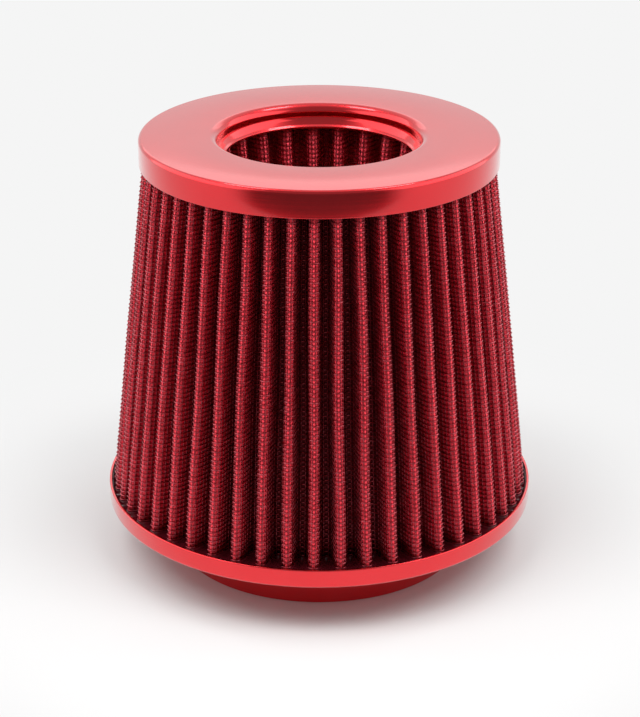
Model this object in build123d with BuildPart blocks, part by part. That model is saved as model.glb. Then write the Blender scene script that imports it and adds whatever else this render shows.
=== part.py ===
"""Open-top cone air filter: a pleated outer cone and an inverted inner funnel between spun metal end pieces.

Millimetres, +Z up. The origin is the centre of the neck's lower rim, on which the filter stands.
"""

import math
import os

from build123d import *

# Spun sheet metal
sheet_thickness = 1.0
overall_height = 155.8

# Base pan
pan_diameter = 155.0
pan_rim_height = 6.9
pan_corner_radius = 1.2

# Inlet neck, a tube that passes up through the pan and seats on it by a flange
neck_diameter = 106.8
neck_wall = 2.5
neck_drop = 19.3
neck_edge_chamfer = 0.6
neck_flange_width = 4.6
neck_flange_thickness = 1.2
neck_hole_clearance = 0.1

# Top cap, with a mouth whose lip rolls down to a waist and flares in again to a narrow edge
cap_diameter = 125.6
cap_skirt_height = 9.5
cap_corner_radius = 1.3
mouth_diameter = 65.4
lip_depth = 7.5
lip_edge_width = 1.0
lip_edge_drop = 0.6
lip_edge_bend = 0.9
lip_waist_diameter = 70.4
lip_waist_top = 2.5
lip_waist_foot = 4.4
lip_top_bend = 2.4
lip_foot_bend = 3.0
lip_roll_diameter = 72.8
lip_roll_bend = 1.6

# Potting that holds the ends of the pleats
base_sealant_depth = 3.2
base_sealant_reach = 2.9
top_sealant_depth = 4.8
funnel_sealant_depth = 2.5
funnel_sealant_reach = 2.0

# Layers of the pleated pack
screen_thickness = 0.5
gauze_thickness = 0.7

# Section of a pleat: shares of the pitch at its tip and at its root, and of the tip's own half width
pleat_tip_share = 0.44
pleat_root_share = 0.34
pleat_crown_share = 0.3
pleat_shoulder_share = 0.52

# Outer cone
outer_pleat_count = 51
outer_pleat_depth = 9.3
outer_pleat_phase = -91.5
pan_tip_clearance = 0.6
cap_tip_clearance = 0.3

# Inverted inner funnel
funnel_pleat_count = 24
funnel_pleat_depth = 8.0
funnel_pleat_phase = 93.75
funnel_length = 74.0
funnel_tip_diameter = 71.4
funnel_end_radius = 26.0

# Dish that closes the lower end of the funnel
end_cap_rim_height = 5.0
end_cap_corner_chamfer = 0.8
end_cap_clearance = 0.4

# Radii of the spun pieces
pan_radius = pan_diameter / 2
pan_inner_radius = pan_radius - sheet_thickness
neck_radius = neck_diameter / 2
neck_bore_radius = neck_radius - neck_wall
flange_radius = neck_radius + neck_flange_width
cap_radius = cap_diameter / 2
cap_inner_radius = cap_radius - sheet_thickness
mouth_radius = mouth_diameter / 2
lip_edge_radius = mouth_radius + lip_edge_width
lip_waist_radius = lip_waist_diameter / 2
lip_back_radius = lip_waist_radius + sheet_thickness
lip_roll_radius = lip_roll_diameter / 2
lip_roll_turn = math.atan2(lip_waist_top, lip_roll_radius - lip_waist_radius)
lip_roll_start = lip_roll_radius + lip_roll_bend * math.tan(lip_roll_turn / 2)

# Heights
pan_underside = neck_drop
pan_floor = pan_underside + sheet_thickness
base_seat = pan_floor + base_sealant_depth
cap_underside = overall_height - sheet_thickness
skirt_edge = overall_height - cap_skirt_height
lip_edge = overall_height - lip_depth
lip_waist_top_height = overall_height - lip_waist_top
lip_waist_foot_height = overall_height - lip_waist_foot
top_seat = cap_underside - top_sealant_depth
funnel_seat = top_seat - funnel_length
end_cap_floor = funnel_seat - funnel_sealant_depth
end_cap_underside = end_cap_floor - sheet_thickness
end_cap_rim_top = end_cap_underside + end_cap_rim_height

# Screen and gauze together
pack_thickness = screen_thickness + gauze_thickness

# The outer cone's tips run from just inside the pan's rim to just inside the cap's skirt, and on up to the cap's
# potting; the funnel's tips run from just behind the mouth's lip to the end dish
outer_tip_base_radius = pan_inner_radius - pan_tip_clearance
outer_tip_skirt_radius = cap_inner_radius - cap_tip_clearance
outer_taper = (outer_tip_base_radius - outer_tip_skirt_radius) / (skirt_edge - base_seat)
outer_tip_top_radius = outer_tip_base_radius - outer_taper * (top_seat - base_seat)
outer_back_radius = outer_tip_base_radius - outer_pleat_depth - pack_thickness
funnel_tip_top_radius = funnel_tip_diameter / 2
funnel_taper = (funnel_tip_top_radius - funnel_end_radius) / funnel_length


def pleat_corners(tip_radius, depth, count, phase):
    """Corners of a ring of pleats, counter-clockwise; depth is negative where the folds run inwards."""
    pitch = 2 * math.pi / count
    inwards = math.copysign(1, depth)
    root_radius = tip_radius + depth
    tip_half_width = pleat_tip_share * pitch * tip_radius / 2
    root_half_width = pleat_root_share * pitch * root_radius / 2
    shoulder_radius = tip_radius + inwards * pleat_shoulder_share * tip_half_width
    crown_half_width = pleat_crown_share * tip_half_width
    corners = []
    for fold in range(count):
        tip_turn = phase + math.degrees(fold * pitch)
        valley_turn = tip_turn + math.degrees(pitch / 2)
        for radius, side, turn in (
            (shoulder_radius, -tip_half_width, tip_turn),
            (tip_radius, -crown_half_width, tip_turn),
            (tip_radius, crown_half_width, tip_turn),
            (shoulder_radius, tip_half_width, tip_turn),
            (root_radius, -root_half_width, valley_turn),
            (root_radius, root_half_width, valley_turn),
        ):
            corners.append(Vector(radius, side).rotate(Axis.Z, turn))
    return corners


def parallel_corners(corners, distance):
    """Corners of the outline whose sides lie a distance inside the given counter-clockwise outline."""
    normals = []
    for corner, following in zip(corners, corners[1:] + corners[:1]):
        normals.append((following - corner).rotate(Axis.Z, 90).normalized())
    moved = []
    for corner, before, after in zip(corners, normals[-1:] + normals[:-1], normals):
        moved.append(corner + (before + after) * (distance / (1 + before.dot(after))))
    return moved


def sheet_back(face, thickness):
    """Corners of a bent sheet's back, to the right of the corners of its face."""
    normals = [(after - before).rotate(Axis.Z, -90).normalized() for before, after in zip(face, face[1:])]
    back = [face[0] + normals[0] * thickness]
    for corner, before, after in zip(face[1:-1], normals, normals[1:]):
        back.append(corner + (before + after) * (thickness / (1 + before.dot(after))))
    back.append(face[-1] + normals[-1] * thickness)
    return back


def folded_sheet(lower, upper, lower_height, upper_height, outside, inside):
    """A sheet folded in flat panels between two similar rings of corners, with its ends cut level.

    outside and inside are how far its two faces lie inside the rings.
    """
    panels = []
    end_wires = []
    for distance in (outside, inside):
        foot = [corner + Vector(0, 0, lower_height) for corner in parallel_corners(lower, distance)]
        head = [corner + Vector(0, 0, upper_height) for corner in parallel_corners(upper, distance)]
        for first, second, third, fourth in zip(foot, foot[1:] + foot[:1], head[1:] + head[:1], head):
            panels.append(Face(Wire.make_polygon([first, second, third, fourth])))
        end_wires.append((Wire.make_polygon(foot), Wire.make_polygon(head)))
    for outer_wire, inner_wire in zip(*end_wires):
        panels.append(Face(outer_wire, [inner_wire]))
    return Solid(Shell(panels))


def outer_cone_sheet(outside, inside):
    """A layer of the outer cone, by its depths below the outside of the screen."""
    top_depth = outer_pleat_depth * outer_tip_top_radius / outer_tip_base_radius
    lower = pleat_corners(outer_tip_base_radius, -outer_pleat_depth, outer_pleat_count, outer_pleat_phase)
    upper = pleat_corners(outer_tip_top_radius, -top_depth, outer_pleat_count, outer_pleat_phase)
    return folded_sheet(lower, upper, base_seat, top_seat, outside, inside)


def funnel_sheet(front, back):
    """A layer of the funnel, by its depths behind the well side of the screen."""
    end_depth = funnel_pleat_depth * funnel_end_radius / funnel_tip_top_radius
    lower = pleat_corners(funnel_end_radius, end_depth, funnel_pleat_count, funnel_pleat_phase)
    upper = pleat_corners(funnel_tip_top_radius, funnel_pleat_depth, funnel_pleat_count, funnel_pleat_phase)
    return folded_sheet(lower, upper, funnel_seat, top_seat, -back, -front)


def funnel_back_radius(height):
    """Largest radius of the funnel's pack at a height."""
    tip_radius = funnel_end_radius + funnel_taper * (height - funnel_seat)
    return tip_radius * (1 + funnel_pleat_depth / funnel_tip_top_radius) + pack_thickness


# Base pan: a flat floor with a hole for the neck and an upright rim
with BuildPart() as base_pan:
    with BuildSketch(Plane.XY.offset(pan_underside)):
        Circle(pan_radius)
    extrude(amount=pan_rim_height)
    fillet(base_pan.edges().group_by(Axis.Z)[0], radius=pan_corner_radius)
    with BuildSketch(Plane.XY.offset(pan_floor)):
        Circle(pan_inner_radius)
    extrude(amount=pan_rim_height, mode=Mode.SUBTRACT)
    with Locations((0, 0, pan_floor)):
        Hole(neck_radius + neck_hole_clearance)

# Inlet neck: tube and seating flange turned as one section
with BuildPart() as inlet_neck:
    with BuildSketch(Plane.XZ):
        with BuildLine():
            Polyline(
                (neck_bore_radius, 0),
                (neck_radius, 0),
                (neck_radius, pan_floor),
                (flange_radius, pan_floor),
                (flange_radius, pan_floor + neck_flange_thickness),
                (neck_bore_radius, pan_floor + neck_flange_thickness),
                close=True,
            )
        make_face()
    revolve(axis=Axis.Z)
    chamfer(inlet_neck.edges().group_by(Axis.Z)[0].sort_by(SortBy.RADIUS)[-1], length=neck_edge_chamfer)

# Top cap: one sheet, from the mouth's edge up over the lip, out across the flat top and down the skirt
cap_face = [
    Vector(mouth_radius, lip_edge),
    Vector(lip_edge_radius, lip_edge + lip_edge_drop),
    Vector(lip_waist_radius, lip_waist_foot_height),
    Vector(lip_waist_radius, lip_waist_top_height),
    Vector(lip_roll_radius, overall_height),
    Vector(cap_radius, overall_height),
    Vector(cap_radius, skirt_edge),
]
cap_back = sheet_back(cap_face, sheet_thickness)
inward_bends = [lip_edge_bend, lip_foot_bend]
outward_bends = [lip_top_bend, lip_roll_bend, cap_corner_radius]
back_bends = [bend + sheet_thickness for bend in inward_bends] + [bend - sheet_thickness for bend in outward_bends]

with BuildPart() as top_cap:
    with BuildSketch(Plane.XZ):
        with BuildLine():
            FilletPolyline(*cap_face, radius=inward_bends + outward_bends)
            FilletPolyline(*cap_back, radius=back_bends)
            Line(cap_face[0], cap_back[0])
            Line(cap_face[-1], cap_back[-1])
        make_face()
    revolve(axis=Axis.Z)

# Potting under the cap, sloped up behind the lip
with BuildPart() as top_sealant:
    with BuildSketch(Plane.XZ):
        with BuildLine():
            FilletPolyline(
                (lip_back_radius, top_seat),
                (lip_roll_start, cap_underside),
                (cap_inner_radius, cap_underside),
                (cap_inner_radius, top_seat),
                radius=(0, back_bends[-1]),
            )
            Line((cap_inner_radius, top_seat), (lip_back_radius, top_seat))
        make_face()
    revolve(axis=Axis.Z)

# Potting in the pan, from the rim to a little past the pleats, and over the neck's flange where it reaches that far
with BuildPart() as base_sealant:
    with BuildSketch(Plane.XY.offset(pan_floor)):
        Circle(pan_inner_radius)
        Circle(outer_back_radius - base_sealant_reach, mode=Mode.SUBTRACT)
    extrude(amount=base_sealant_depth)
    with BuildSketch(Plane.XY.offset(pan_floor)):
        Circle(flange_radius)
    extrude(amount=neck_flange_thickness, mode=Mode.SUBTRACT)

# Outer cone: wire screen outside, gauze folded with it behind
with BuildPart() as outer_screen:
    add(outer_cone_sheet(0, screen_thickness))

with BuildPart() as outer_gauze:
    add(outer_cone_sheet(screen_thickness, pack_thickness))

# Inner funnel: wire screen on the well side, gauze behind it
with BuildPart() as inner_screen:
    add(funnel_sheet(0, screen_thickness))

with BuildPart() as inner_gauze:
    add(funnel_sheet(screen_thickness, pack_thickness))

# Dish at the funnel's lower end, wide enough for the pack where the rim ends
end_cap_inner_radius = funnel_back_radius(end_cap_rim_top) + end_cap_clearance

with BuildPart() as funnel_end_cap:
    with BuildSketch(Plane.XY.offset(end_cap_underside)):
        Circle(end_cap_inner_radius + sheet_thickness)
    extrude(amount=end_cap_rim_height)
    chamfer(funnel_end_cap.edges().group_by(Axis.Z)[0], length=end_cap_corner_chamfer)
    with BuildSketch(Plane.XY.offset(end_cap_floor)):
        Circle(end_cap_inner_radius)
    extrude(amount=end_cap_rim_height, mode=Mode.SUBTRACT)

# Ring of potting in the dish
with BuildPart() as funnel_sealant:
    with BuildSketch(Plane.XY.offset(end_cap_floor)):
        Circle(end_cap_inner_radius)
        Circle(funnel_end_radius - funnel_sealant_reach, mode=Mode.SUBTRACT)
    extrude(amount=funnel_sealant_depth)

os.makedirs("parts", exist_ok=True)
for label, piece in (
    ("base_pan", base_pan),
    ("inlet_neck", inlet_neck),
    ("top_cap", top_cap),
    ("top_sealant", top_sealant),
    ("base_sealant", base_sealant),
    ("outer_screen", outer_screen),
    ("outer_gauze", outer_gauze),
    ("inner_screen", inner_screen),
    ("inner_gauze", inner_gauze),
    ("funnel_end_cap", funnel_end_cap),
    ("funnel_sealant", funnel_sealant),
):
    piece.part.label = label
    export_step(piece.part, f"parts/{label}.step")
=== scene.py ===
"""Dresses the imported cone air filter: spun anodised end pieces, pleated gauze, wire and potting.

Sizes are in millimetres and are turned to metres where a mesh is made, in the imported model's
frame: +Z up, with the filter standing on the lower rim of its inlet neck.
"""

import logging
import math
from dataclasses import dataclass
from enum import Enum
from typing import Any

import bmesh
import bpy
import numpy as np
from bmesh.types import BMEdge, BMesh, BMLayerItem, BMVert
from bpy.types import Material, Node, NodeSocket, NodeTree, Object
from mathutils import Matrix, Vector


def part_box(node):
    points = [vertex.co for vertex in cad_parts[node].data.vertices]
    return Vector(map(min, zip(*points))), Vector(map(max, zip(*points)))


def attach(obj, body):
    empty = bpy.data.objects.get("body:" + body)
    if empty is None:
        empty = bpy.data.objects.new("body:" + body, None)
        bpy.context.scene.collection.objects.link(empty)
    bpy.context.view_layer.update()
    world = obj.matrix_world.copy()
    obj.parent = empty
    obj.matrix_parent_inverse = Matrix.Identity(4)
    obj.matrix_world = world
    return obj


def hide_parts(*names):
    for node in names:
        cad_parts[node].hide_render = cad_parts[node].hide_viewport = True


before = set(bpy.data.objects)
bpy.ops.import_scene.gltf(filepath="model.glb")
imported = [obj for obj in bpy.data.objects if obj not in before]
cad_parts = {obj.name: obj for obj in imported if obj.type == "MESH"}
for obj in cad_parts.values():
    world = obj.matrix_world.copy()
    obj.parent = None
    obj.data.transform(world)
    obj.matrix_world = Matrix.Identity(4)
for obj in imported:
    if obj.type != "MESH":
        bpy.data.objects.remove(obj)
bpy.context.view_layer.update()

Inputs = dict[str | int, Any]
Pair = tuple[float, float]

LOG = logging.getLogger("cone_air_filter")
BODY = "root"
# A millimetre in metres.
MM = 0.001
# Steps round a turned piece, and across a rounded corner.
TURN_STEPS = 192
ROUND_STEPS = 8
# Points of a section closer than this, in millimetres, become one.
MERGE_GAP = 0.001
SMOOTH_ANGLE = math.radians(32)
# A Mix node's colour sockets go by number, as they share their names with its other sockets.
MIX_SHARE, MIX_LOW, MIX_HIGH = 0, 6, 7
MIXED = 2
# Noise detail of soft patches and swells.
SOFT_DETAIL = 1.0


class Slot(Enum):
    """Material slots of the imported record."""

    ANODISED = "red_anodised"
    WIRE = "coated_wire"
    GAUZE = "oiled_gauze"
    POTTING = "potting"


class Facing(Enum):
    """The side of a pleated cone that its wire screen covers."""

    OUTWARDS = 1
    INWARDS = -1


class Side(Enum):
    """A side of the studio, as the camera sees it."""

    LEFT = -1
    RIGHT = 1


def linear(colour: str) -> tuple[float, float, float, float]:
    """Turns an sRGB hex colour to linear.

    Args:
        colour: Six hex digits after a hash sign.

    Returns:
        Linear red, green and blue, and an alpha of one.
    """
    shares = [int(colour[place:place + 2], 16) / 255 for place in (1, 3, 5)]
    # The sRGB curve: straight at its foot, then a power.
    red, green, blue = (s / 12.92 if s <= 0.04045 else ((s + 0.055) / 1.055) ** 2.4 for s in shares)
    return red, green, blue, 1.0


def feed(tree: NodeTree, node: Node, inputs: Inputs) -> None:
    """Sets and links a node's inputs.

    Args:
        tree: The node's tree.
        node: The node to feed.
        inputs: Values or output sockets for the node's inputs, by name or number.
    """
    for name, value in inputs.items():
        if isinstance(value, NodeSocket):
            tree.links.new(value, node.inputs[name])
        else:
            node.inputs[name].default_value = value


def add_node(tree: NodeTree, kind: str, inputs: Inputs | None = None, **settings: Any) -> Node:
    """Adds a node with its settings and links.

    Args:
        tree: The node tree to add to.
        kind: The node's type.
        inputs: Values or output sockets for the node's inputs, by name or number.
        **settings: Values for the node's own properties.

    Returns:
        The new node.
    """
    node = tree.nodes.new(kind)
    for name, value in settings.items():
        setattr(node, name, value)
    feed(tree, node, inputs or {})
    return node


def span(end: str, ends: tuple[Any, Any]) -> Inputs:
    """Gives the inputs of a Map Range node for both ends of its From or its To."""
    return {f"{end} Min": ends[0], f"{end} Max": ends[1]}


def new_material(name: str) -> tuple[Material, NodeTree, Node]:
    """Makes a material with a lone shader.

    Args:
        name: The material's name.

    Returns:
        The material, its node tree and its Principled shader.
    """
    material = bpy.data.materials.new(name)
    material.use_nodes = True
    tree = material.node_tree
    return material, tree, tree.nodes["Principled BSDF"]


@dataclass(frozen=True)
class SpunAnodisedAluminium:
    """Aluminium spun on a lathe, brightened and dyed red in the anodising bath.

    The eye sees a clear, wet-looking red skin over metal, with faint rings left by the spinning
    tool.
    """

    colour: str = "#E0121E"
    pale_colour: str = "#E8202A"
    roughness: Pair = (0.16, 0.26)
    # Drawn coarser than a tool's real marks, which are finer than a pixel.
    ring_spacing: float = 0.5
    ring_height: float = 0.004
    ring_detail: float = 2.0
    ring_range: Pair = (0.3, 0.7)
    cloud_size: float = 14.0
    skin: float = 1.0
    skin_roughness: float = 0.1

    def material(self) -> Material:
        """Makes the material.

        Returns:
            The material, with rings about the filter's axis.
        """
        material, tree, shader = new_material("spun_anodised_aluminium")
        place = add_node(tree, "ShaderNodeTexCoord").outputs["Object"]
        parts = add_node(tree, "ShaderNodeSeparateXYZ", {0: place}).outputs
        flat = add_node(tree, "ShaderNodeCombineXYZ", {0: parts[0], 1: parts[1]})
        radius = add_node(tree, "ShaderNodeVectorMath", {0: flat.outputs[0]}, operation="LENGTH")
        along = add_node(
            tree, "ShaderNodeMath", {0: radius.outputs["Value"], 1: parts[2]}, operation="SUBTRACT")
        rings = add_node(
            tree, "ShaderNodeTexNoise",
            {"W": along.outputs[0], "Scale": 1 / (self.ring_spacing * MM),
             "Detail": self.ring_detail},
            noise_dimensions="1D").outputs[0]
        cloud = add_node(
            tree, "ShaderNodeTexNoise", {"Vector": place, "Scale": 1 / (self.cloud_size * MM)})
        tint = add_node(
            tree, "ShaderNodeMix",
            {MIX_SHARE: cloud.outputs[0], MIX_LOW: linear(self.colour),
             MIX_HIGH: linear(self.pale_colour)},
            data_type="RGBA")
        gloss = add_node(
            tree, "ShaderNodeMapRange",
            {"Value": rings, **span("From", self.ring_range), **span("To", self.roughness)})
        bump = add_node(
            tree, "ShaderNodeBump", {"Height": rings, "Distance": self.ring_height * MM})
        feed(tree, shader, {
            "Base Color": tint.outputs[MIXED],
            "Roughness": gloss.outputs[0],
            "Normal": bump.outputs[0],
            "Metallic": 1.0,
            "Coat Weight": self.skin,
            "Coat Roughness": self.skin_roughness,
        })
        return material


@dataclass(frozen=True)
class CoatedWovenWire:
    """Drawn aluminium wire, woven square and thinly coated with clear red lacquer.

    The eye sees red metal wires, dark where they mirror the room's dim side, with pinkish glints
    where they turn.
    """

    colour: str = "#CC5460"
    thick_colour: str = "#A82A36"
    roughness: float = 0.3
    patch_size: float = 2.5
    patch_range: Pair = (0.35, 0.65)
    lacquer: float = 0.6
    lacquer_roughness: float = 0.15

    def material(self) -> Material:
        """Makes the material.

        Returns:
            The material, with thicker patches of lacquer.
        """
        material, tree, shader = new_material("coated_woven_wire")
        place = add_node(tree, "ShaderNodeTexCoord").outputs["Object"]
        patches = add_node(
            tree, "ShaderNodeTexNoise",
            {"Vector": place, "Scale": 1 / (self.patch_size * MM), "Detail": SOFT_DETAIL})
        coat = add_node(
            tree, "ShaderNodeMapRange",
            {"Value": patches.outputs[0], **span("From", self.patch_range)})
        tint = add_node(
            tree, "ShaderNodeMix",
            {MIX_SHARE: coat.outputs[0], MIX_LOW: linear(self.colour),
             MIX_HIGH: linear(self.thick_colour)},
            data_type="RGBA")
        feed(tree, shader, {
            "Base Color": tint.outputs[MIXED],
            "Metallic": 1.0,
            "Roughness": self.roughness,
            "Coat Weight": self.lacquer,
            "Coat Roughness": self.lacquer_roughness,
        })
        return material


@dataclass(frozen=True)
class OiledCottonGauze:
    """Loose plain-woven cotton, wetted with red filter oil and pressed into the screen's mesh.

    The eye sees a saturated red cloth that swells a little in each opening of the mesh. Its
    colour holds painted light: a painted highlight on the crowns of the folds, painted shade on
    their flanks and along the wires, and a painted shadow, wine red, at the roots of the folds.
    """

    # A painted highlight on the crowns of the folds, and painted shade along the wires there.
    colour: str = "#EA424F"
    shade_colour: str = "#B62632"
    # Painted shade on the flanks, and painted shade along the wires there.
    painted_flank_shade_colour: str = "#D61E32"
    flank_shade_colour: str = "#780C18"
    # A painted shadow at the roots of the folds.
    painted_root_shadow_colour: str = "#54080F"
    sheen_colour: str = "#FF8C90"
    roughness: float = 0.55
    specular: float = 0.35
    swell_height: float = 0.3
    # Ranges of waves that are at their highest along wires, or at the crowns of folds. They place
    #     the swells' bump and the painted shade along the wires, the painted highlight on the
    #     crowns against the painted shade of the flanks, and the painted shadow at the roots.
    swell_range: Pair = (1.0, -1.0)
    painted_crest_range: Pair = (0.75, 0.96)
    painted_root_shadow_range: Pair = (-0.8, 0.2)

    def material(self, turns: tuple[float, ...], starts: tuple[float, ...]) -> Material:
        """Makes the material for one piece of gauze.

        Args:
            turns: How many upright wires, ring wires and folds the cloth's map holds.
            starts: Where on the map, as a share of it, the first of each is.

        Returns:
            The material, patterned on the piece's own map.
        """
        material, tree, shader = new_material("oiled_cotton_gauze")
        cloth = add_node(tree, "ShaderNodeUVMap", uv_map=PleatedCone.cloth_map)
        across = add_node(tree, "ShaderNodeSeparateXYZ", {0: cloth.outputs[0]}).outputs
        place = add_node(tree, "ShaderNodeCombineXYZ", {0: across[0], 1: across[1], 2: across[0]})
        moved = add_node(
            tree, "ShaderNodeVectorMath", {0: place.outputs[0], 1: starts}, operation="SUBTRACT")
        angles = tuple(math.tau * turn for turn in turns)
        phase = add_node(
            tree, "ShaderNodeVectorMath", {0: moved.outputs[0], 1: angles}, operation="MULTIPLY")
        waves = add_node(tree, "ShaderNodeVectorMath", {0: phase.outputs[0]}, operation="COSINE")
        parts = add_node(tree, "ShaderNodeSeparateXYZ", {0: waves.outputs[0]}).outputs
        wires = add_node(tree, "ShaderNodeMath", {0: parts[0], 1: parts[1]}, operation="ADD")
        # Masks of painted light: along the wires for painted shade (and the swells' bump), at the
        # crowns for a painted highlight, and at the roots for a painted shadow.
        swell, painted_crest, tip = (
            add_node(tree, "ShaderNodeMapRange", {"Value": wave, **span("From", ends)}).outputs[0]
            for wave, ends in (
                (wires.outputs[0], self.swell_range),
                (parts[2], self.painted_crest_range),
                (parts[2], self.painted_root_shadow_range),
            )
        )
        # Painted shade along the wires, on the crowns and on the flanks.
        crown, painted_flank = (
            add_node(
                tree, "ShaderNodeMix",
                {MIX_SHARE: swell, MIX_LOW: linear(shade), MIX_HIGH: linear(colour)},
                data_type="RGBA",
            ).outputs[MIXED]
            for shade, colour in (
                (self.shade_colour, self.colour),
                (self.flank_shade_colour, self.painted_flank_shade_colour),
            ))
        # A painted highlight on the crowns against painted shade on the flanks.
        fold = add_node(
            tree, "ShaderNodeMix", {MIX_SHARE: painted_crest, MIX_LOW: painted_flank, MIX_HIGH: crown},
            data_type="RGBA")
        # A painted shadow in the roots of the folds.
        root_shadowed = add_node(
            tree, "ShaderNodeMix",
            {MIX_SHARE: tip, MIX_LOW: linear(self.painted_root_shadow_colour), MIX_HIGH: fold.outputs[MIXED]},
            data_type="RGBA")
        bump = add_node(
            tree, "ShaderNodeBump", {"Height": swell, "Distance": self.swell_height * MM})
        feed(tree, shader, {
            "Base Color": root_shadowed.outputs[MIXED],
            "Normal": bump.outputs[0],
            "Roughness": self.roughness,
            "Specular IOR Level": self.specular,
            "Specular Tint": linear(self.sheen_colour),
        })
        return material


@dataclass(frozen=True)
class PouredPolyurethane:
    """Dark red polyurethane potting, poured round the pleats and cured glossy.

    The eye sees a nearly black, wet-looking surface with soft swells and small bright glints.
    """

    colour: str = "#2C060B"
    swell_colour: str = "#4A0C14"
    roughness: float = 0.07
    specular: float = 0.3
    swell_size: float = 3.5
    swell_height: float = 0.5

    def material(self) -> Material:
        """Makes the material.

        Returns:
            The material, with soft swells.
        """
        material, tree, shader = new_material("poured_polyurethane")
        place = add_node(tree, "ShaderNodeTexCoord").outputs["Object"]
        swells = add_node(
            tree, "ShaderNodeTexNoise",
            {"Vector": place, "Scale": 1 / (self.swell_size * MM), "Detail": SOFT_DETAIL},
        ).outputs[0]
        tint = add_node(
            tree, "ShaderNodeMix",
            {MIX_SHARE: swells, MIX_LOW: linear(self.colour), MIX_HIGH: linear(self.swell_colour)},
            data_type="RGBA")
        bump = add_node(
            tree, "ShaderNodeBump", {"Height": swells, "Distance": self.swell_height * MM})
        feed(tree, shader, {
            "Base Color": tint.outputs[MIXED],
            "Normal": bump.outputs[0],
            "Roughness": self.roughness,
            "Specular IOR Level": self.specular,
        })
        return material


@dataclass(frozen=True)
class Extent:
    """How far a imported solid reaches, in millimetres: radius, lower end and upper end."""

    radius: float
    bottom: float
    top: float

    @classmethod
    def of(cls, node: str) -> "Extent":
        """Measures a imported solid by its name."""
        low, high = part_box(node)
        return cls(high.x / MM, low.z / MM, high.z / MM)


@dataclass(frozen=True)
class Corner:
    """A corner of a turned section, in millimetres, and how far along its sides it is rounded."""

    radius: float
    height: float
    rounding: float = 0.0


def turned_piece(name: str, section: list[Corner]) -> Object:
    """Turns a closed section about the filter's axis.

    Args:
        name: Name of the piece.
        section: Corners of the section in order.

    Returns:
        A closed, smoothly shaded ring.
    """
    mesh = bmesh.new()
    points = [mesh.verts.new((corner.radius * MM, 0.0, corner.height * MM)) for corner in section]
    for point, following in zip(points, points[1:] + points[:1]):
        mesh.edges.new((point, following))
    for point, corner in zip(points, section):
        if corner.rounding:
            bmesh.ops.bevel(
                mesh, geom=[point], offset=corner.rounding * MM, offset_type="OFFSET",
                affect="VERTICES", segments=ROUND_STEPS, profile=0.5, material=-1,
            )
    bmesh.ops.remove_doubles(mesh, verts=mesh.verts, dist=MERGE_GAP * MM)
    bmesh.ops.spin(
        mesh, geom=mesh.verts[:] + mesh.edges[:], cent=(0, 0, 0), axis=(0, 0, 1), angle=math.tau,
        steps=TURN_STEPS, use_merge=True,
    )
    bmesh.ops.recalc_face_normals(mesh, faces=mesh.faces)
    return finished_piece(name, mesh)


def thickened(face: list[Corner], sheet: float) -> list[Corner]:
    """Gives the section of a sheet from the corners of its face.

    Args:
        face: Corners of the face in order, with the sheet on their right-hand side.
        sheet: Thickness of the sheet in millimetres.

    Returns:
        Corners of the closed section: the face's, then the back's in return order.
    """
    places = np.array([(corner.radius, corner.height) for corner in face])
    along = np.diff(places, axis=0)
    along /= np.linalg.norm(along, axis=1, keepdims=True)
    inner = np.stack((along[:, 1], -along[:, 0]), axis=1)
    mitres = inner[:-1] + inner[1:]
    mitres /= (1 + (inner[:-1] * inner[1:]).sum(axis=1))[:, None]
    backs = places + sheet * np.vstack((inner[:1], mitres, inner[-1:]))
    back = [Corner(*place, corner.rounding) for place, corner in zip(backs, face)]
    return face + back[::-1]


def grown_rim(mesh: BMesh, rim: list[BMEdge]) -> tuple[list[BMVert], list[BMEdge]]:
    """Grows a mesh by a band of faces at its rim.

    Args:
        mesh: The mesh to grow.
        rim: Edges of its rim.

    Returns:
        Points and edges of the new rim, which lies on the old one.
    """
    grown = bmesh.ops.extrude_edge_only(mesh, edges=rim)["geom"]
    points = [part for part in grown if isinstance(part, BMVert)]
    edges = [part for part in grown if isinstance(part, BMEdge)]
    return points, edges


def lifted_rim(mesh: BMesh, rim: list[BMEdge], scale: float, lift: float) -> list[BMEdge]:
    """Grows a mesh at its rim and moves the new rim.

    Args:
        mesh: The mesh to grow.
        rim: Edges of its rim.
        scale: Size of the new rim as a share of the old one's.
        lift: How far the new rim goes up.

    Returns:
        Edges of the new rim.
    """
    points, edges = grown_rim(mesh, rim)
    bmesh.ops.scale(mesh, verts=points, vec=(scale, scale, 1))
    bmesh.ops.translate(mesh, verts=points, vec=(0, 0, lift))
    return edges


def finished_piece(name: str, mesh: BMesh) -> Object:
    """Makes a smoothly shaded object of a worked mesh.

    Args:
        name: Name of the piece.
        mesh: The worked mesh, which is freed.

    Returns:
        The object, at the origin.
    """
    data = bpy.data.meshes.new(name)
    mesh.to_mesh(data)
    mesh.free()
    data.shade_smooth()
    data.set_sharp_from_angle(angle=SMOOTH_ANGLE)
    piece = bpy.data.objects.new(name, data)
    bpy.context.collection.objects.link(piece)
    return piece


def dress(piece: Object, material: Material, slot: Slot, *nodes: str) -> None:
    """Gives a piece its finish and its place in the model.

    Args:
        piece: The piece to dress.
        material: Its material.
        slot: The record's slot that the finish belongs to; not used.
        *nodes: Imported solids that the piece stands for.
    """
    piece.data.materials.clear()
    piece.data.materials.append(material)
    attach(piece, BODY)
    if nodes:
        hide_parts(*nodes)
    LOG.info("%s: %d faces, %s", piece.name, len(piece.data.polygons), material.name)


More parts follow.
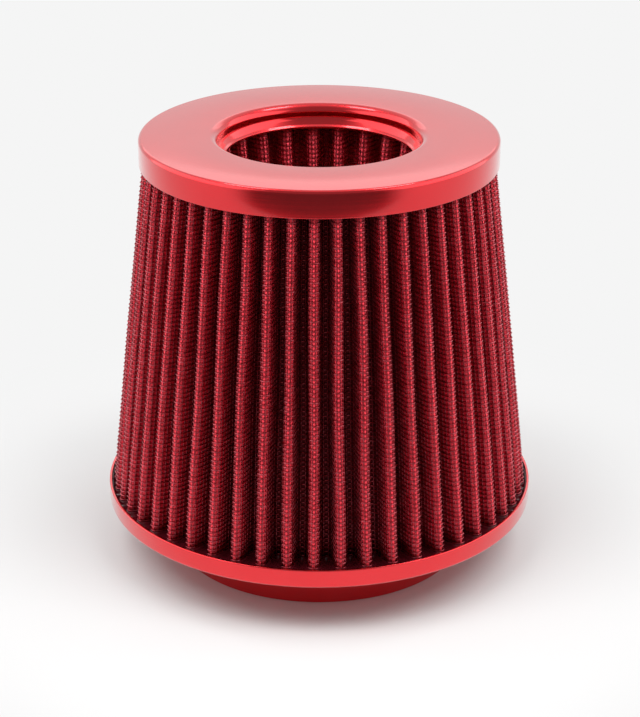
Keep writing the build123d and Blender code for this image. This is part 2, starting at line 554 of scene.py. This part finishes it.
@dataclass
class TopCap:
    """The spun cap with its rolled mouth, and the potting under it."""

    sheet: float = 1.0
    mouth_radius: float = 32.7
    lip_depth: float = 7.5
    lip_edge: Pair = (1.0, 0.6)
    lip_edge_round: float = 0.25
    waist_radius: float = 35.2
    waist_depths: Pair = (2.0, 4.9)
    waist_rounds: Pair = (0.7, 0.9)
    roll_radius: float = 36.8
    roll_round: float = 1.4
    corner_round: float = 1.3
    edge_round: float = 0.3
    inner_round: float = 0.5

    def build(self, metal: Material, potting: Material) -> None:
        """Makes and dresses the cap and its potting.

        Args:
            metal: Finish of the cap.
            potting: Finish of the potting.
        """
        cap = Extent.of("top_cap")
        lip = cap.top - self.lip_depth
        edge_out, edge_up = self.lip_edge
        piece = turned_piece("cap", thickened([
            Corner(self.mouth_radius, lip, self.edge_round),
            Corner(self.mouth_radius + edge_out, lip + edge_up, self.lip_edge_round),
            Corner(self.waist_radius, cap.top - self.waist_depths[1], self.waist_rounds[1]),
            Corner(self.waist_radius, cap.top - self.waist_depths[0], self.waist_rounds[0]),
            Corner(self.roll_radius, cap.top, self.roll_round),
            Corner(cap.radius, cap.top, self.corner_round),
            Corner(cap.radius, cap.bottom, self.edge_round),
        ], self.sheet))
        dress(piece, metal, Slot.ANODISED, "top_cap")
        seal = Extent.of("top_sealant")
        piece = turned_piece("cap_potting", [
            Corner(self.roll_radius + self.roll_round, seal.top),
            Corner(seal.radius, seal.top, self.inner_round),
            Corner(seal.radius, seal.bottom),
            Corner(self.waist_radius + self.sheet, seal.bottom, self.edge_round),
        ])
        dress(piece, potting, Slot.POTTING, "top_sealant")


@dataclass
class BasePan:
    """The spun pan, the inlet neck that passes through it, and the potting in it."""

    sheet: float = 1.0
    corner_round: float = 1.2
    edge_round: float = 0.3
    neck_radius: float = 53.4
    neck_bore: float = 50.9
    neck_clearance: float = 0.1
    neck_chamfer: float = 0.6
    potting_bore: float = 61.9
    potting_rise: float = 0.5
    meniscus: float = 0.7

    def level(self) -> float:
        """Gives the height of the potting's surface."""
        return Extent.of("base_sealant").top + self.potting_rise

    def build(self, metal: Material, potting: Material) -> None:
        """Makes and dresses the pan, the neck and the potting.

        Args:
            metal: Finish of the pan and the neck.
            potting: Finish of the potting.
        """
        pan = Extent.of("base_pan")
        floor = pan.bottom + self.sheet
        hole = self.neck_radius + self.neck_clearance
        wall = pan.radius - self.sheet
        piece = turned_piece("pan", [
            Corner(hole, pan.bottom),
            Corner(pan.radius, pan.bottom, self.corner_round),
            Corner(pan.radius, pan.top, self.edge_round),
            Corner(wall, pan.top, self.edge_round),
            Corner(wall, floor, self.edge_round),
            Corner(hole, floor),
        ])
        dress(piece, metal, Slot.ANODISED, "base_pan")
        neck = Extent.of("inlet_neck")
        piece = turned_piece("neck", [
            Corner(self.neck_bore, neck.bottom, self.edge_round),
            Corner(self.neck_radius, neck.bottom, self.neck_chamfer),
            Corner(self.neck_radius, floor),
            Corner(neck.radius, floor),
            Corner(neck.radius, neck.top, self.edge_round),
            Corner(self.neck_bore, neck.top, self.edge_round),
        ])
        dress(piece, metal, Slot.ANODISED, "inlet_neck")
        seal = Extent.of("base_sealant")
        level = self.level()
        piece = turned_piece("pan_potting", [
            Corner(self.potting_bore, seal.bottom),
            Corner(wall, seal.bottom),
            Corner(wall, level + self.meniscus),
            Corner(wall - self.edge_round, level + self.meniscus),
            Corner(wall - self.edge_round, level, self.meniscus),
            Corner(self.potting_bore, level, self.meniscus),
        ])
        dress(piece, potting, Slot.POTTING, "base_sealant")


@dataclass
class FunnelFoot:
    """The dish that closes the lower end of the inner funnel, and the potting in it."""

    sheet: float = 1.0
    corner_chamfer: float = 0.8
    edge_round: float = 0.3
    potting_bore: float = 24.0
    potting_rise: float = 0.4

    def build(self, metal: Material, potting: Material) -> None:
        """Makes and dresses the dish and its potting.

        Args:
            metal: Finish of the dish.
            potting: Finish of the potting.
        """
        dish = Extent.of("funnel_end_cap")
        foot = dish.radius - self.corner_chamfer
        mesh = bmesh.new()
        bmesh.ops.create_circle(mesh, cap_ends=True, segments=TURN_STEPS, radius=foot * MM)
        bmesh.ops.translate(mesh, verts=mesh.verts, vec=(0, 0, dish.bottom * MM))
        steps = (
            (1 + self.corner_chamfer / foot, self.corner_chamfer * MM),
            (1.0, (dish.top - dish.bottom - self.corner_chamfer) * MM),
            (1 - self.sheet / dish.radius, 0.0),
            (1.0, self.sheet * MM + dish.bottom * MM - dish.top * MM),
        )
        rim = mesh.edges[:]
        for scale, lift in steps:
            rim = lifted_rim(mesh, rim, scale, lift)
        bmesh.ops.contextual_create(mesh, geom=rim)
        bmesh.ops.recalc_face_normals(mesh, faces=mesh.faces)
        dress(finished_piece("funnel_dish", mesh), metal, Slot.ANODISED, "funnel_end_cap")
        seal = Extent.of("funnel_sealant")
        level = seal.top + self.potting_rise
        piece = turned_piece("dish_potting", [
            Corner(self.potting_bore, seal.bottom),
            Corner(seal.radius, seal.bottom),
            Corner(seal.radius, level),
            Corner(self.potting_bore, level, self.edge_round),
        ])
        dress(piece, potting, Slot.POTTING, "funnel_sealant")


@dataclass(frozen=True)
class Wave:
    """A slow wave in a cone of folds.

    It has a size in millimetres, a number of turns round the cone, the millimetres up the cone
    that move it by a radian, and a start in radians.
    """

    size: float
    turns: int
    climb: float
    start: float = 0.0

    def at(self, turn: np.ndarray, height: np.ndarray) -> np.ndarray:
        """Gives the wave, from -1 to 1, at angles and heights."""
        return np.sin(self.turns * turn + height / self.climb + self.start)


@dataclass
class PleatedCone:
    """A cone of gauze folded in pleats, with a woven wire screen on one side.

    The pleats are alike at every height and grow with the radius, so one ring of them, at the
    wide end, gives all.
    """

    # The name by which the export bakes through a piece's own map.
    cloth_map = "OFBake"

    name: str
    screen_node: str
    gauze_node: str
    facing: Facing
    folds: int
    first_fold: float
    wide_radius: float
    narrow_radius: float
    depth: float
    wide_end_down: bool
    ring_pieces: int
    bow: float = 0.0
    # Tips and roots as shares of the pitch, and crowns and shoulders as shares of half a tip.
    tip_share: float = 0.48
    gauze_tip_share: float = 0.42
    root_share: float = 0.34
    crown_share: float = 0.3
    shoulder_share: float = 0.52
    # Corners of the folds are rounded by cutting this share of each side, again and again.
    corner_cut: float = 0.25
    corner_cuts: int = 2
    upright_radius: float = 0.14
    ring_radius: float = 0.21
    wire_inset: float = 0.2
    upright_inset: float = 0.38
    weave: float = 0.1
    crossings: int = 14
    row_pitch: float = 1.61
    upright_steps: int = 8
    gauze_inset: float = 0.55
    gauze_thickness: float = 0.7
    gauze_rows: int = 12
    # How far the crept potting reaches from the folds, and its rise above the level there.
    creep: tuple[Pair, ...] = (
        (1.4, -0.1), (0.8, 0.08), (0.4, 0.3), (0.15, 0.75), (-0.1, 1.6),
    )
    creep_thickness: float = 0.4
    swings: tuple[Wave, ...] = (Wave(0.15, 13, 16), Wave(0.12, 29, -22, 1.3))
    dip: Wave = Wave(0.07, 17, -9, 0.4)

    def __post_init__(self) -> None:
        """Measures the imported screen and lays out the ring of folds."""
        size = Extent.of(self.screen_node)
        self.bottom = size.bottom
        self.top = size.top
        self.ring = self.fold_line(self.tip_share)

    def fold_line(self, tip_share: float) -> np.ndarray:
        """Lays out the ring of folds at the wide end.

        Args:
            tip_share: How much of the pitch the tip of a fold takes.

        Returns:
            Points in order, counter-clockwise from the crown of a fold at the back, with softly
            rounded corners.
        """
        pitch = math.tau / self.folds
        inwards = -self.facing.value
        root = self.wide_radius + inwards * self.depth
        half_tip = tip_share * pitch * self.wide_radius / 2
        half_root = self.root_share * pitch * root / 2
        shoulder = self.wide_radius + inwards * self.shoulder_share * half_tip
        crown = self.crown_share * half_tip
        corners = []
        for fold in range(self.folds):
            turn = math.radians(self.first_fold) + (fold + self.folds // 2) * pitch
            for radius, side, at in (
                (self.wide_radius, 0.0, turn),
                (self.wide_radius, crown, turn),
                (shoulder, half_tip, turn),
                (root, -half_root, turn + pitch / 2),
                (root, half_root, turn + pitch / 2),
                (shoulder, -half_tip, turn + pitch),
                (self.wide_radius, -crown, turn + pitch),
            ):
                corners.append((
                    radius * math.cos(at) - side * math.sin(at),
                    radius * math.sin(at) + side * math.cos(at),
                ))
        ring = np.array(corners)
        cut, rest = self.corner_cut, 1 - self.corner_cut
        for _ in range(self.corner_cuts):
            following = np.roll(ring, -1, axis=0)
            ends = (ring * rest + following * cut, ring * cut + following * rest)
            ring = np.stack(ends, axis=1).reshape(-1, 2)
        return ring

    def below(self, ring: np.ndarray, depth: np.ndarray | float) -> np.ndarray:
        """Moves a ring of points below the screen's face.

        Args:
            ring: Points in order, counter-clockwise.
            depth: How far each point goes.

        Returns:
            The moved points.
        """
        along = np.roll(ring, -1, axis=0) - np.roll(ring, 1, axis=0)
        along /= np.linalg.norm(along, axis=1, keepdims=True)
        inner = np.stack((-along[:, 1], along[:, 0]), axis=1) * self.facing.value
        return ring + inner * np.reshape(depth, (-1, 1))

    def share_up(self, height: np.ndarray | float) -> np.ndarray | float:
        """Gives a height as a share of the cone's, from its lower end."""
        return (height - self.bottom) / (self.top - self.bottom)

    def scale_at(self, height: float) -> float:
        """Gives the size of the ring of folds at a height.

        Args:
            height: Height in millimetres.

        Returns:
            The size as a share of the wide end's.
        """
        share = self.share_up(height)
        if not self.wide_end_down:
            share = 1 - share
        return 1 - share * (1 - self.narrow_radius / self.wide_radius)

    def settled(self, points: np.ndarray) -> np.ndarray:
        """Lets folds wander a little, as hand-set pleats do, but not at their potted ends.

        Args:
            points: Points in millimetres.

        Returns:
            The points after they have moved round and inwards.
        """
        turn = np.arctan2(points[:, 1], points[:, 0])
        height = points[:, 2]
        share = np.clip(self.share_up(height), 0, 1)
        free = np.sqrt(4 * share * (1 - share))
        swing = free * sum(wave.size * wave.at(turn, height) for wave in self.swings)
        dip = free * (self.dip.size * (self.dip.at(turn, height) - 1) + self.bow)
        radius = np.hypot(points[:, 0], points[:, 1])
        turn = turn + swing / radius
        radius = radius + dip * self.facing.value
        return np.stack((radius * np.cos(turn), radius * np.sin(turn), height), axis=1)

    def raised(self, ring: np.ndarray, height: float) -> np.ndarray:
        """Takes a ring of points from the wide end to a height and lets it settle there.

        Args:
            ring: Points in order, at the wide end.
            height: Height in millimetres.

        Returns:
            Points in millimetres.
        """
        flat = ring * self.scale_at(height)
        return self.settled(np.column_stack((flat, np.full(len(flat), height))))

    def build(self, wire: Material, gauze: OiledCottonGauze) -> None:
        """Makes and dresses the gauze and the screen.

        Args:
            wire: Finish of the screen.
            gauze: Finish of the gauze.
        """
        self.build_gauze(gauze)
        self.build_uprights(wire)
        self.build_rings(wire)

    def build_gauze(self, finish: OiledCottonGauze) -> None:
        """Makes and dresses the folded gauze.

        Args:
            finish: Finish of the gauze.
        """
        ring = self.below(self.fold_line(self.gauze_tip_share), self.gauze_inset)
        run = self.lengths_along(ring)[-1]
        mesh = bmesh.new()
        share = mesh.verts.layers.float.new("share")
        first = [mesh.verts.new((x, y, 0.0)) for x, y in ring * self.scale_at(self.bottom)]
        rim = [mesh.edges.new(pair) for pair in zip(first, first[1:] + first[:1])]
        for place, point in zip(self.lengths_along(ring), first):
            point[share] = place / run
        bmesh.ops.translate(mesh, verts=first, vec=(0, 0, self.bottom))
        heights = np.linspace(self.bottom, self.top, self.gauze_rows + 1)
        for low, high in zip(heights, heights[1:]):
            rim = lifted_rim(mesh, rim, self.scale_at(high) / self.scale_at(low), high - low)
        self.map_cloth(mesh, share)
        moved = self.settled(np.array([point.co for point in mesh.verts]))
        for point, place in zip(mesh.verts, moved):
            point.co = place * MM
        self.turn_outwards(mesh)
        piece = self.thick_piece(f"{self.name}_gauze", mesh, self.gauze_thickness)
        rows = self.row_count()
        uprights = self.folds * self.crossings
        first_crown = self.lead(ring, self.gauze_inset) / -run
        material = finish.material(
            (uprights, rows, self.folds),
            (first_crown + 0.5 / uprights, 0.5 / rows, first_crown),
        )
        dress(piece, material, Slot.GAUZE, self.gauze_node)

    def build_creep(self, potting: Material, level: float) -> None:
        """Makes and dresses the potting that has crept up the foot of the folds.

        Args:
            potting: Finish of the potting.
            level: Height of the potting's surface.
        """
        mesh = bmesh.new()
        number = mesh.verts.layers.int.new("number")
        points = [mesh.verts.new((x, y, level)) for x, y in self.ring]
        for place, point in enumerate(points):
            point[number] = place
        rim = [mesh.edges.new(pair) for pair in zip(points, points[1:] + points[:1])]
        for row, (reach, rise) in enumerate(self.creep):
            if row:
                points, rim = grown_rim(mesh, rim)
            places = self.raised(self.below(self.ring, -reach), level + rise) * MM
            for point in points:
                point.co = places[point[number]]
        self.turn_outwards(mesh)
        piece = self.thick_piece(f"{self.name}_creep", mesh, self.creep_thickness)
        dress(piece, potting, Slot.POTTING)

    def turn_outwards(self, mesh: BMesh) -> None:
        """Turns a folded mesh so that its faces look to the screen's side.

        Args:
            mesh: The mesh, with its faces turned alike.
        """
        mesh.normal_update()
        mesh.faces.ensure_lookup_table()
        face = mesh.faces[0]
        outwards = face.calc_center_median() * Vector((1, 1, 0))
        if face.normal.dot(outwards) * self.facing.value < 0:
            bmesh.ops.reverse_faces(mesh, faces=mesh.faces)

    def thick_piece(self, name: str, mesh: BMesh, thickness: float) -> Object:
        """Makes an object of a folded mesh, thickened away from its face.

        Args:
            name: Name of the piece.
            mesh: The worked mesh, which is freed.
            thickness: Thickness in millimetres.

        Returns:
            The object, at the origin.
        """
        piece = finished_piece(name, mesh)
        wall = piece.modifiers.new("thickness", "SOLIDIFY")
        wall.thickness = thickness * MM
        wall.offset = -1
        return piece

    def map_cloth(self, mesh: BMesh, share: BMLayerItem) -> None:
        """Gives the gauze a map: across it along the folds, and up it by height.

        Args:
            mesh: The gauze, before its folds settle.
            share: The layer that holds each point's share of the run along the folds.
        """
        layer = mesh.loops.layers.uv.new(self.cloth_map)
        for face in mesh.faces:
            shares = [loop.vert[share] for loop in face.loops]
            # A face that seems to span more than half of the map lies across its seam.
            at_seam = max(shares) - min(shares) > 0.5
            for loop, across in zip(face.loops, shares):
                if at_seam and across < 0.5:
                    across += 1
                loop[layer].uv = (across, self.share_up(loop.vert.co.z))
        mesh.verts.layers.float.remove(share)

    def wire_places(self) -> tuple[np.ndarray, np.ndarray]:
        """Finds where wires cross along the ring of folds.

        Returns:
            Runs along the ring, and for each a crossing's number, or -1 between crossings where
            the wire bends.
        """
        wires = self.folds * self.crossings
        step = self.lengths_along(self.below(self.ring, self.wire_inset))[-1] / wires
        # Ring wires bend at the crown and the root of a fold, and run straight between them.
        middle = self.crossings // 2
        bends = (0, 1, middle - 1, middle, middle + 1, self.crossings - 2, self.crossings - 1)
        runs, numbers = [], []
        for number in range(wires):
            if number % self.crossings in bends:
                runs.append(number * step)
                numbers.append(-1)
            runs.append((number + 0.5) * step)
            numbers.append(number)
        return np.array(runs), np.array(numbers)

    def at_runs(self, runs: np.ndarray) -> np.ndarray:
        """Finds points by their runs along the ring of folds, counted from the first crown.

        Args:
            runs: Lengths along the ring.

        Returns:
            Points on the screen's middle line, at the wide end.
        """
        ring = self.below(self.ring, self.wire_inset)
        lengths = self.lengths_along(ring)
        closed = np.vstack((ring, ring[:1]))
        places = np.mod(runs - self.lead(ring, self.wire_inset), lengths[-1])
        return np.stack([np.interp(places, lengths, closed[:, axis]) for axis in (0, 1)], axis=1)

    def lengths_along(self, ring: np.ndarray) -> np.ndarray:
        """Measures along a closed ring of points.

        Args:
            ring: Points in order.

        Returns:
            The length from the first point to each, and all the way round to the first again.
        """
        steps = np.linalg.norm(np.roll(ring, -1, axis=0) - ring, axis=1)
        return np.concatenate(([0.0], np.cumsum(steps)))

    def lead(self, ring: np.ndarray, depth: float) -> float:
        """Measures from the middle of the first fold's crown to the start of a ring.

        Args:
            ring: Points in order.
            depth: How far the ring lies below the screen's face.

        Returns:
            The length in millimetres.
        """
        turn = math.radians(self.first_fold) + (self.folds // 2) * math.tau / self.folds
        radius = self.wide_radius - depth * self.facing.value
        crown = np.array((radius * math.cos(turn), radius * math.sin(turn)))
        return float(np.linalg.norm(crown - ring[0]))

    def row_count(self) -> int:
        """Counts the wires that run round the cone."""
        return int((self.top - self.bottom) / self.row_pitch)

    def wires(self, name: str, lines: list[np.ndarray], radius: float, closed: bool) -> Object:
        """Makes wires along lines.

        Args:
            name: Name of the piece.
            lines: Points of each wire, in millimetres.
            radius: Radius of the wire, in millimetres.
            closed: Whether each wire joins its own end.

        Returns:
            A mesh of wires, each with its own strip of the map.
        """
        curve = bpy.data.curves.new(name, "CURVE")
        curve.dimensions = "3D"
        curve.twist_mode = "Z_UP"
        curve.bevel_depth = radius * MM
        curve.bevel_resolution = 0
        curve.use_fill_caps = not closed
        for line in lines:
            spline = curve.splines.new("POLY")
            spline.points.add(len(line) - 1)
            places = np.column_stack((line * MM, np.ones(len(line))))
            spline.points.foreach_set("co", places.ravel())
            spline.use_cyclic_u = closed
            spline.use_smooth = True
        holder = bpy.data.objects.new(name, curve)
        bpy.context.collection.objects.link(holder)
        bpy.context.view_layer.update()
        mesh = bpy.data.meshes.new_from_object(holder)
        bpy.data.objects.remove(holder)
        bpy.data.curves.remove(curve)
        mesh.name = name
        layer = mesh.uv_layers.active
        layer.name = self.cloth_map
        places = np.empty(len(layer.uv) * 2, dtype=np.float32)
        layer.uv.foreach_get("vector", places)
        places = places.reshape(len(lines), -1, 2)
        places[:, :, 1] = (places[:, :, 1] + np.arange(len(lines))[:, None]) / len(lines)
        layer.uv.foreach_set("vector", places.ravel())
        piece = bpy.data.objects.new(name, mesh)
        bpy.context.collection.objects.link(piece)
        return piece

    def build_uprights(self, wire: Material) -> None:
        """Makes and dresses the wires that run up the cone.

        Args:
            wire: Finish of the screen.
        """
        runs, numbers = self.wire_places()
        inset = self.upright_inset - self.wire_inset
        ring = self.below(self.at_runs(runs[numbers >= 0]), inset)
        heights = np.linspace(self.bottom, self.top, self.upright_steps + 1)
        lines = list(np.stack([self.raised(ring, height) for height in heights], axis=1))
        piece = self.wires(f"{self.name}_upright_wires", lines, self.upright_radius, closed=False)
        dress(piece, wire, Slot.WIRE)

    def build_rings(self, wire: Material) -> None:
        """Makes and dresses the wires that run round the cone, in and out of the uprights.

        Args:
            wire: Finish of the screen.
        """
        runs, numbers = self.wire_places()
        middle = self.at_runs(runs)
        rows = self.row_count()
        lines = []
        for row in range(rows):
            height = self.bottom + (row + 0.5) * (self.top - self.bottom) / rows
            woven = np.where((numbers + row) % 2, -self.weave, self.weave)
            side = np.where(numbers < 0, 0.0, woven)
            lines.append(self.raised(self.below(middle, side), height))
        share = math.ceil(rows / self.ring_pieces)
        for part in range(self.ring_pieces):
            name = f"{self.name}_ring_wires_{part + 1}"
            some = lines[part * share:(part + 1) * share]
            piece = self.wires(name, some, self.ring_radius, closed=True)
            nodes = [self.screen_node] if part == 0 else []
            dress(piece, wire, Slot.WIRE, *nodes)


@dataclass(frozen=True)
class Softbox:
    """A soft rectangular light that faces the filter's axis, in metres and watts."""

    name: str
    place: tuple[float, float, float]
    aim_height: float
    size: Pair
    power: float
    mirrored: bool = True

    def hang(self, side: Side | None = None) -> None:
        """Hangs the softbox.

        Args:
            side: The side that it hangs on, if it is one of a pair.
        """
        name = f"{side.name.lower()}_{self.name}" if side else self.name
        lamp = bpy.data.lights.new(name, "AREA")
        lamp.shape = "RECTANGLE"
        lamp.size, lamp.size_y = self.size
        lamp.energy = self.power
        light = bpy.data.objects.new(name, lamp)
        across, back, up = self.place
        place = Vector((side.value * across if side else across, back, up))
        aim = Vector((0.0, 0.0, self.aim_height))
        light.location = place
        light.rotation_euler = (aim - place).to_track_quat("-Z", "Y").to_euler()
        light.visible_glossy = self.mirrored
        bpy.context.collection.objects.link(light)


@dataclass
class Studio:
    """A white table, soft light from above and a camera at the photo's angle, in metres."""

    floor_half_width: float = 1.5
    floor_front: float = -0.35
    floor_back: float = 2.5
    floor_colour: str = "#B4B4B4"
    floor_roughness: float = 0.7
    floor_specular: float = 0.1
    white: str = "#F5F5F5"
    white_range: Pair = (0.08, 0.2)
    # The room's brightness on the camera's side, by how steeply a look goes up, and beyond it.
    near_climbs: Pair = (0.02, 0.3)
    near_levels: Pair = (0.16, 0.33)
    far_range: Pair = (-0.4, 0.1)
    far_level: float = 0.82
    pairs: tuple[Softbox, ...] = (
        Softbox("fill", (0.48, -0.42, 1.05), 0.08, (0.8, 0.6), 12.0, mirrored=False),
        Softbox("side_fill", (1.0, -0.1, 0.5), 0.06, (1.8, 1.2), 6.6),
        Softbox("bar", (0.34, 0.18, 1.05), 0.15, (0.3, 0.24), 1.4),
    )
    back: Softbox = Softbox("back", (0.0, 1.5, 0.87), 0.15, (1.8, 0.3), 1.0)
    camera_place: tuple[float, float, float] = (0.0, -0.6885, 0.3664)
    camera_tilt: float = 66.77
    lens: float = 103.67
    shift: float = 0.001

    def build(self) -> None:
        """Makes the floor, the world, the lights and the camera."""
        self.build_floor()
        self.build_world()
        for side in Side:
            for softbox in self.pairs:
                softbox.hang(side)
        self.back.hang()
        self.build_camera()
        bpy.context.scene.view_settings.view_transform = "Standard"

    def build_floor(self) -> None:
        """Makes the table, which turns plain white away from the filter to the eye."""
        mesh = bmesh.new()
        bmesh.ops.create_grid(mesh, x_segments=1, y_segments=1, size=1.0)
        depth = (self.floor_back - self.floor_front) / 2
        bmesh.ops.scale(mesh, verts=mesh.verts, vec=(self.floor_half_width, depth, 1))
        bmesh.ops.translate(mesh, verts=mesh.verts, vec=(0, self.floor_front + depth, 0))
        floor = finished_piece("floor", mesh)
        material, tree, shader = new_material("matt_white_table")
        feed(tree, shader, {
            "Base Color": linear(self.floor_colour),
            "Roughness": self.floor_roughness,
            "Specular IOR Level": self.floor_specular,
        })
        place = add_node(tree, "ShaderNodeTexCoord").outputs["Object"]
        away = add_node(tree, "ShaderNodeVectorMath", {0: place}, operation="LENGTH")
        far = add_node(
            tree, "ShaderNodeMapRange",
            {"Value": away.outputs["Value"], **span("From", self.white_range)},
            interpolation_type="SMOOTHSTEP")
        eye = add_node(tree, "ShaderNodeLightPath").outputs
        looks = add_node(
            tree, "ShaderNodeMath", {0: eye["Is Camera Ray"], 1: eye["Is Glossy Ray"]},
            operation="MAXIMUM")
        share = add_node(
            tree, "ShaderNodeMath", {0: far.outputs[0], 1: looks.outputs[0]}, operation="MULTIPLY")
        glow = add_node(tree, "ShaderNodeEmission", {"Color": linear(self.white)})
        mixed = add_node(
            tree, "ShaderNodeMixShader",
            {0: share.outputs[0], 1: shader.outputs[0], 2: glow.outputs[0]})
        feed(tree, tree.nodes["Material Output"], {"Surface": mixed.outputs[0]})
        floor.data.materials.append(material)

    def build_world(self) -> None:
        """Makes a bright room, dim on the camera's side and plain white to the camera itself."""
        world = bpy.data.worlds.new("studio")
        bpy.context.scene.world = world
        world.use_nodes = True
        tree = world.node_tree
        direction = add_node(tree, "ShaderNodeTexCoord").outputs["Generated"]
        parts = add_node(tree, "ShaderNodeSeparateXYZ", {0: direction}).outputs
        near = add_node(
            tree, "ShaderNodeMapRange",
            {"Value": parts[2], **span("From", self.near_climbs), **span("To", self.near_levels)},
            interpolation_type="SMOOTHSTEP")
        away = add_node(
            tree, "ShaderNodeMath", {0: parts[0], 1: parts[0], 2: parts[1]},
            operation="MULTIPLY_ADD")
        room = add_node(
            tree, "ShaderNodeMapRange",
            {"Value": away.outputs[0], **span("From", self.far_range),
             **span("To", (near.outputs[0], self.far_level))},
            interpolation_type="SMOOTHSTEP")
        eye = add_node(tree, "ShaderNodeLightPath").outputs
        seen = add_node(
            tree, "ShaderNodeMix",
            {"Factor": eye["Is Camera Ray"], "A": room.outputs[0], "B": linear(self.white)[0]})
        feed(tree, tree.nodes["Background"], {
            "Strength": seen.outputs[0],
            "Color": (1.0, 1.0, 1.0, 1.0),
        })

    def build_camera(self) -> None:
        """Sets up the camera."""
        data = bpy.data.cameras.new("camera")
        data.lens = self.lens
        data.shift_x = self.shift
        camera = bpy.data.objects.new("camera", data)
        camera.location = self.camera_place
        camera.rotation_euler = (math.radians(self.camera_tilt), 0, 0)
        bpy.context.collection.objects.link(camera)
        bpy.context.scene.camera = camera


def main() -> None:
    """Builds the filter piece by piece, then the studio."""
    logging.basicConfig(level=logging.INFO, format="%(name)s %(message)s")
    metal = SpunAnodisedAluminium().material()
    wire = CoatedWovenWire().material()
    potting = PouredPolyurethane().material()
    TopCap().build(metal, potting)
    pan = BasePan()
    pan.build(metal, potting)
    FunnelFoot().build(metal, potting)
    cone = PleatedCone(
        "cone", "outer_screen", "outer_gauze", Facing.OUTWARDS, folds=51, first_fold=-91.5,
        wide_radius=75.9, narrow_radius=61.07, depth=9.3, wide_end_down=True, ring_pieces=4,
        bow=0.5,
    )
    cone.build(wire, OiledCottonGauze())
    cone.build_creep(potting, pan.level())
    funnel = PleatedCone(
        "funnel", "inner_screen", "inner_gauze", Facing.INWARDS, folds=24, first_fold=93.75,
        wide_radius=35.7, narrow_radius=26.0, depth=8.0, wide_end_down=False, ring_pieces=1,
        tip_share=0.62, gauze_tip_share=0.57, crown_share=0.22, shoulder_share=0.6,
    )
    # Lighter painted highlight, painted shade and painted root shadow in the funnel's cloth, so
    # that its deep well shows brighter.
    funnel.build(wire, OiledCottonGauze(
        colour="#F0505E", shade_colour="#D23440", painted_flank_shade_colour="#DC3846",
        flank_shade_colour="#A81C28", painted_root_shadow_colour="#98141F",
    ))
    Studio().build()


if __name__ == "__main__":
    main()
